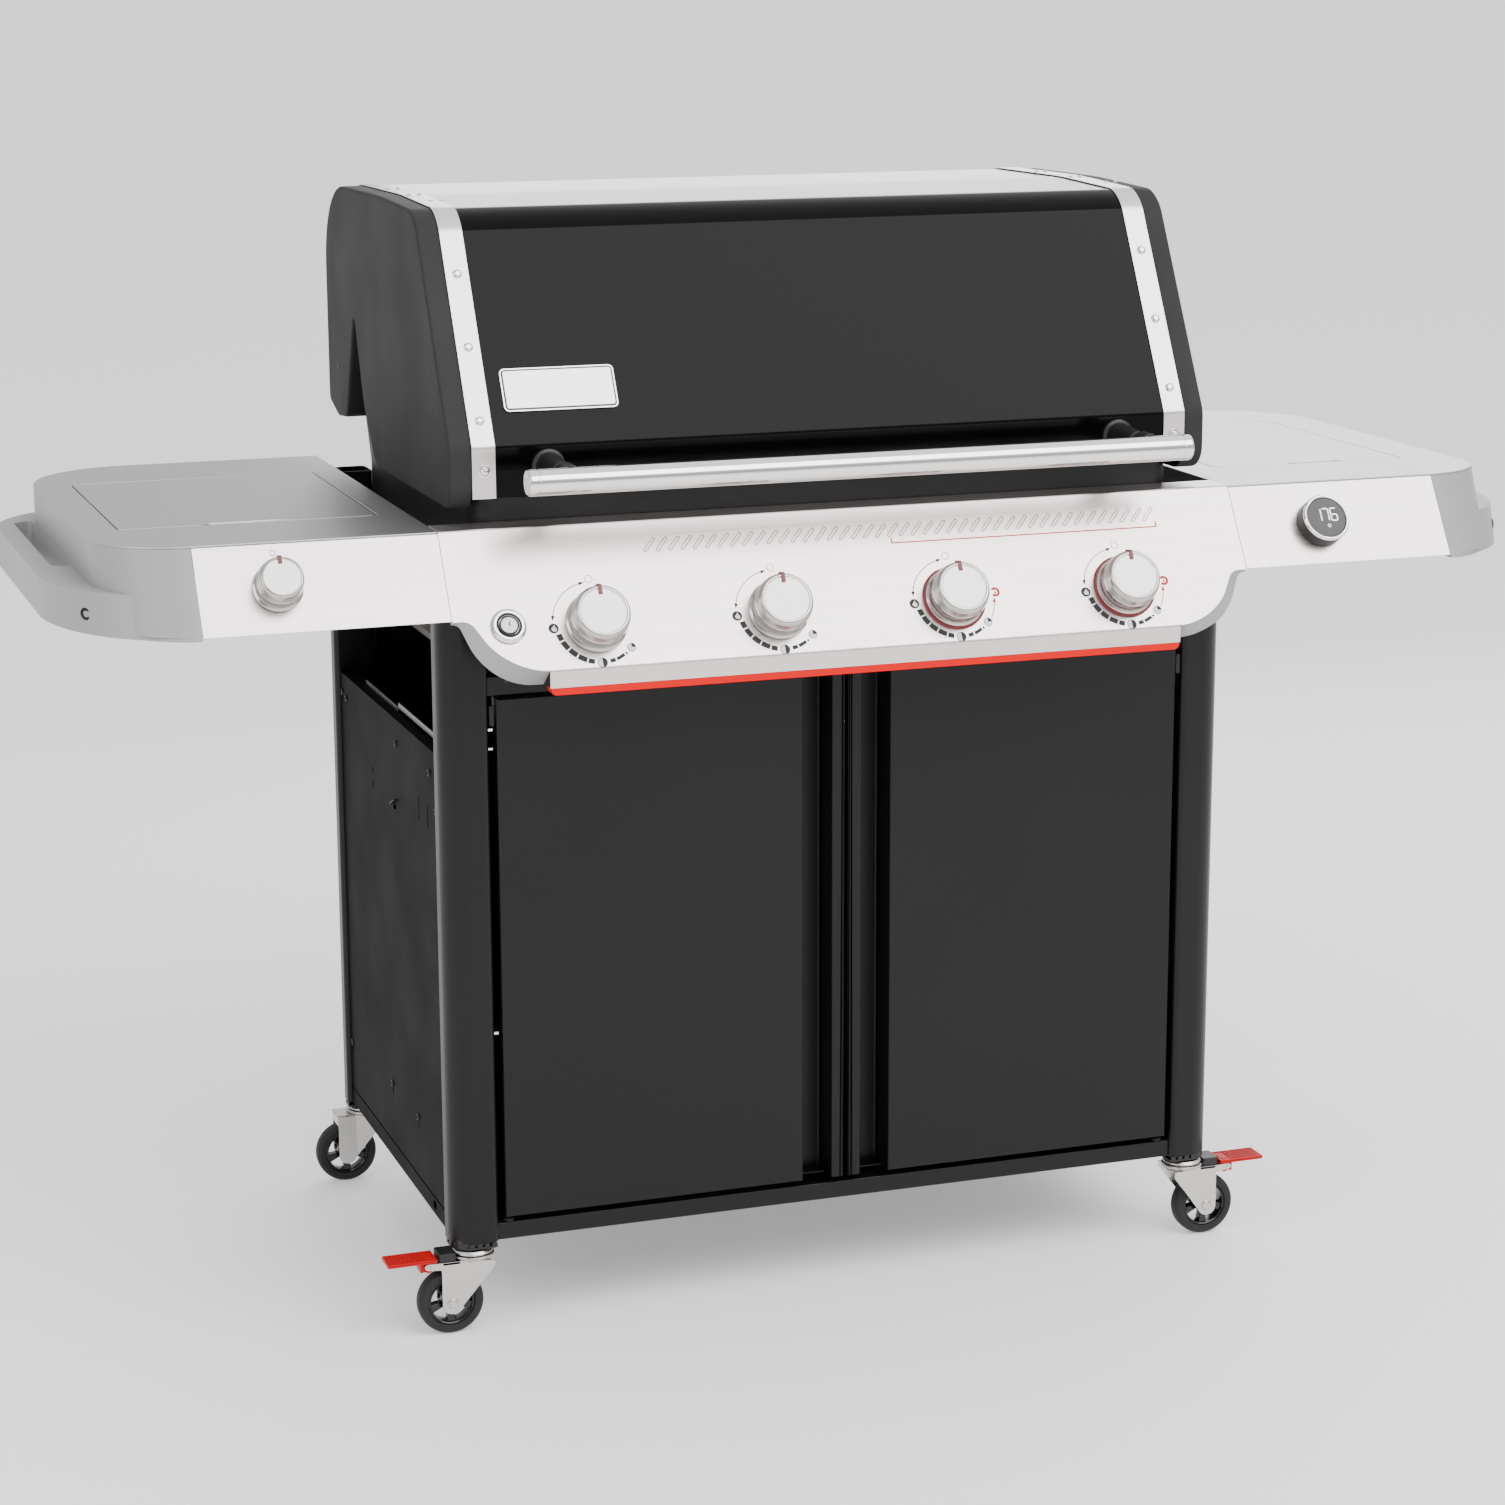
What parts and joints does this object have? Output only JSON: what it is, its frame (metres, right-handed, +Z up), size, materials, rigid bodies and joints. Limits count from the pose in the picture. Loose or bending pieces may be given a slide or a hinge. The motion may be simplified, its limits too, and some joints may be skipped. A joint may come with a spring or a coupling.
{
  "type": "gas barbecue grill",
  "caption": "Gas barbecue grill on a closed cabinet with casters: hinged lid, tilted control panel with knobs, side shelves with handles, side burner and storage well.",
  "frame": {"origin": "on the ground under the middle of the whole grill's bounding box", "axes": "+X to the right of a person facing the controls, +Y to the back, +Z up; the controls face -Y"},
  "size_m": [1.727, 0.7148, 1.2405],
  "materials": {
    "lid_enamel": "gloss black enamel",
    "cap_charcoal": "matte charcoal powder coat with a fine grain",
    "band_steel": "brushed",
    "handle_chrome": "polished, on black posts",
    "cookbox_black": "satin black heat-resistant paint",
    "burner_steel": "plain drawn tube",
    "tent_steel": "plain folded sheet",
    "grate_iron": "matte enamelled cast iron",
    "rack_chrome": "plated wire",
    "manifold_metal": "plain",
    "panel_steel": "brushed along its length, printed dial marks",
    "trim_grey": "silver-grey moulded, satin",
    "strip_red": "translucent red",
    "bezel_chrome": "polished ring",
    "dial_black": "gloss black face in a chrome ring",
    "deck_steel": "bead-blasted satin",
    "burner_black": "satin black",
    "cabinet_black": "satin black powder coat",
    "knob_metal": "satin face, polished ring, knurled side",
    "button_white": "satin",
    "tray_zinc": "plain",
    "fork_nickel": "nickel plate",
    "wheel_black": "black tread on a black spoked hub",
    "pedal_red": "red moulded, ribbed tread"
  },
  "bodies": {
    "grill_body": {"cookbox": "cookbox_black", "burner_tube_1": "burner_steel", "burner_tube_2": "burner_steel", "burner_tube_3": "burner_steel", "burner_tube_4": "burner_steel", "sear_burner": "burner_steel", "heat_tents": "tent_steel", "cooking_grate_left": "grate_iron", "cooking_grate_right": "grate_iron", "warming_rack": "rack_chrome", "gas_manifold": "manifold_metal", "control_panel": "panel_steel", "panel_corner_left": "trim_grey", "panel_corner_right": "trim_grey", "light_strip": "strip_red", "igniter_bezel": "bezel_chrome", "thermometer": "dial_black", "shelf_top_left": "deck_steel", "shelf_top_right": "deck_steel", "shelf_front_left": "panel_steel", "shelf_front_right": "panel_steel", "shelf_end_cap_left": "trim_grey", "shelf_end_cap_right": "trim_grey", "side_burner": "burner_black", "side_panel_left": "cabinet_black", "side_panel_right": "cabinet_black", "bottom_panel": "cabinet_black", "rear_panel": "cabinet_black", "header_rail": "cabinet_black", "front_post_left": "cabinet_black", "front_post_right": "cabinet_black", "rear_post_left": "cabinet_black", "rear_post_right": "cabinet_black"},
    "lid": {"lid_shell": "lid_enamel", "lid_end_cap_left": "cap_charcoal", "lid_end_cap_right": "cap_charcoal", "lid_band_left": "band_steel", "lid_band_right": "band_steel", "lid_handle": "handle_chrome"},
    "knob_1_body": {"knob_1": "knob_metal"},
    "knob_2_body": {"knob_2": "knob_metal"},
    "knob_3_body": {"knob_3": "knob_metal"},
    "knob_4_body": {"knob_4": "knob_metal"},
    "side_burner_knob_body": {"side_burner_knob": "knob_metal"},
    "igniter_button_body": {"igniter_button": "button_white"},
    "side_burner_lid_body": {"side_burner_lid": "deck_steel"},
    "compartment_lid_body": {"compartment_lid": "deck_steel"},
    "left_door": {"door_left": "cabinet_black"},
    "right_door": {"door_right": "cabinet_black"},
    "grease_tray_body": {"grease_tray": "tray_zinc"},
    "front_left_caster": {"caster_fork_front_left": "fork_nickel"},
    "front_left_wheel": {"caster_wheel_front_left": "wheel_black"},
    "front_left_pedal": {"brake_pedal_front_left": "pedal_red"},
    "front_right_caster": {"caster_fork_front_right": "fork_nickel"},
    "front_right_wheel": {"caster_wheel_front_right": "wheel_black"},
    "front_right_pedal": {"brake_pedal_front_right": "pedal_red"},
    "rear_left_caster": {"caster_fork_rear_left": "fork_nickel"},
    "rear_left_wheel": {"caster_wheel_rear_left": "wheel_black"},
    "rear_right_caster": {"caster_fork_rear_right": "fork_nickel"},
    "rear_right_wheel": {"caster_wheel_rear_right": "wheel_black"}
  },
  "joints": [
    {"name": "lid_hinge", "type": "hinge", "parent": "grill_body", "child": "lid", "pos_m": [0, 0.2975, 1.023], "axis": [-1, 0, 0], "range_deg": [0, 80]},
    {"name": "knob_1_turn", "type": "hinge", "parent": "grill_body", "child": "knob_1_body", "pos_m": [-0.3075, -0.31167, 0.81177], "axis": [0, -0.849, 0.5284], "range_deg": [0, 229]},
    {"name": "knob_2_turn", "type": "hinge", "parent": "grill_body", "child": "knob_2_body", "pos_m": [-0.1025, -0.31167, 0.81177], "axis": [0, -0.849, 0.5284], "range_deg": [0, 229]},
    {"name": "knob_3_turn", "type": "hinge", "parent": "grill_body", "child": "knob_3_body", "pos_m": [0.1025, -0.31167, 0.81177], "axis": [0, -0.849, 0.5284], "range_deg": [0, 277]},
    {"name": "knob_4_turn", "type": "hinge", "parent": "grill_body", "child": "knob_4_body", "pos_m": [0.3075, -0.31167, 0.81177], "axis": [0, -0.849, 0.5284], "range_deg": [0, 277]},
    {"name": "side_burner_knob_turn", "type": "hinge", "parent": "grill_body", "child": "side_burner_knob_body", "pos_m": [-0.64125, -0.27891, 0.8644], "axis": [0, -0.849, 0.5284], "range_deg": [0, 229]},
    {"name": "igniter_press", "type": "slide", "parent": "grill_body", "child": "igniter_button_body", "axis": [0, 0.849, -0.5284], "range_m": [0, 0.003], "stiffness_N_per_m": 300},
    {"name": "side_burner_lid_hinge", "type": "hinge", "parent": "grill_body", "child": "side_burner_lid_body", "pos_m": [-0.638, 0.2143, 0.909], "axis": [-1, 0, 0], "range_deg": [0, 100]},
    {"name": "compartment_lid_hinge", "type": "hinge", "parent": "grill_body", "child": "compartment_lid_body", "pos_m": [0.6345, 0.2223, 0.909], "axis": [-1, 0, 0], "range_deg": [0, 100]},
    {"name": "left_door_hinge", "type": "hinge", "parent": "grill_body", "child": "left_door", "pos_m": [-0.397, -0.24, 0.429], "axis": [0, 0, -1], "range_deg": [0, 105]},
    {"name": "right_door_hinge", "type": "hinge", "parent": "grill_body", "child": "right_door", "pos_m": [0.397, -0.24, 0.429], "axis": [0, 0, 1], "range_deg": [0, 105]},
    {"name": "grease_tray_slide", "type": "slide", "parent": "grill_body", "child": "grease_tray_body", "axis": [0, 1, 0], "range_m": [0, 0.3]},
    {"name": "front_left_swivel", "type": "hinge", "parent": "grill_body", "child": "front_left_caster", "pos_m": [-0.43725, -0.2305, 0.1], "axis": [0, 0, 1], "continuous": true},
    {"name": "front_left_wheel_spin", "type": "hinge", "parent": "front_left_caster", "child": "front_left_wheel", "pos_m": [-0.46425, -0.2305, 0.0375], "axis": [0, 1, 0], "continuous": true},
    {"name": "front_left_brake", "type": "hinge", "parent": "front_left_caster", "child": "front_left_pedal", "pos_m": [-0.49025, -0.2305, 0.083], "axis": [0, -1, 0], "range_deg": [0, 12]},
    {"name": "front_right_swivel", "type": "hinge", "parent": "grill_body", "child": "front_right_caster", "pos_m": [0.43725, -0.2305, 0.1], "axis": [0, 0, 1], "continuous": true},
    {"name": "front_right_wheel_spin", "type": "hinge", "parent": "front_right_caster", "child": "front_right_wheel", "pos_m": [0.46425, -0.2305, 0.0375], "axis": [0, 1, 0], "continuous": true},
    {"name": "front_right_brake", "type": "hinge", "parent": "front_right_caster", "child": "front_right_pedal", "pos_m": [0.49025, -0.2305, 0.083], "axis": [0, 1, 0], "range_deg": [0, 12]},
    {"name": "rear_left_swivel", "type": "hinge", "parent": "grill_body", "child": "rear_left_caster", "pos_m": [-0.43725, 0.296, 0.1], "axis": [0, 0, 1], "continuous": true},
    {"name": "rear_left_wheel_spin", "type": "hinge", "parent": "rear_left_caster", "child": "rear_left_wheel", "pos_m": [-0.46425, 0.296, 0.0375], "axis": [0, 1, 0], "continuous": true},
    {"name": "rear_right_swivel", "type": "hinge", "parent": "grill_body", "child": "rear_right_caster", "pos_m": [0.43725, 0.296, 0.1], "axis": [0, 0, 1], "continuous": true},
    {"name": "rear_right_wheel_spin", "type": "hinge", "parent": "rear_right_caster", "child": "rear_right_wheel", "pos_m": [0.46425, 0.296, 0.0375], "axis": [0, 1, 0], "continuous": true}
  ]
}
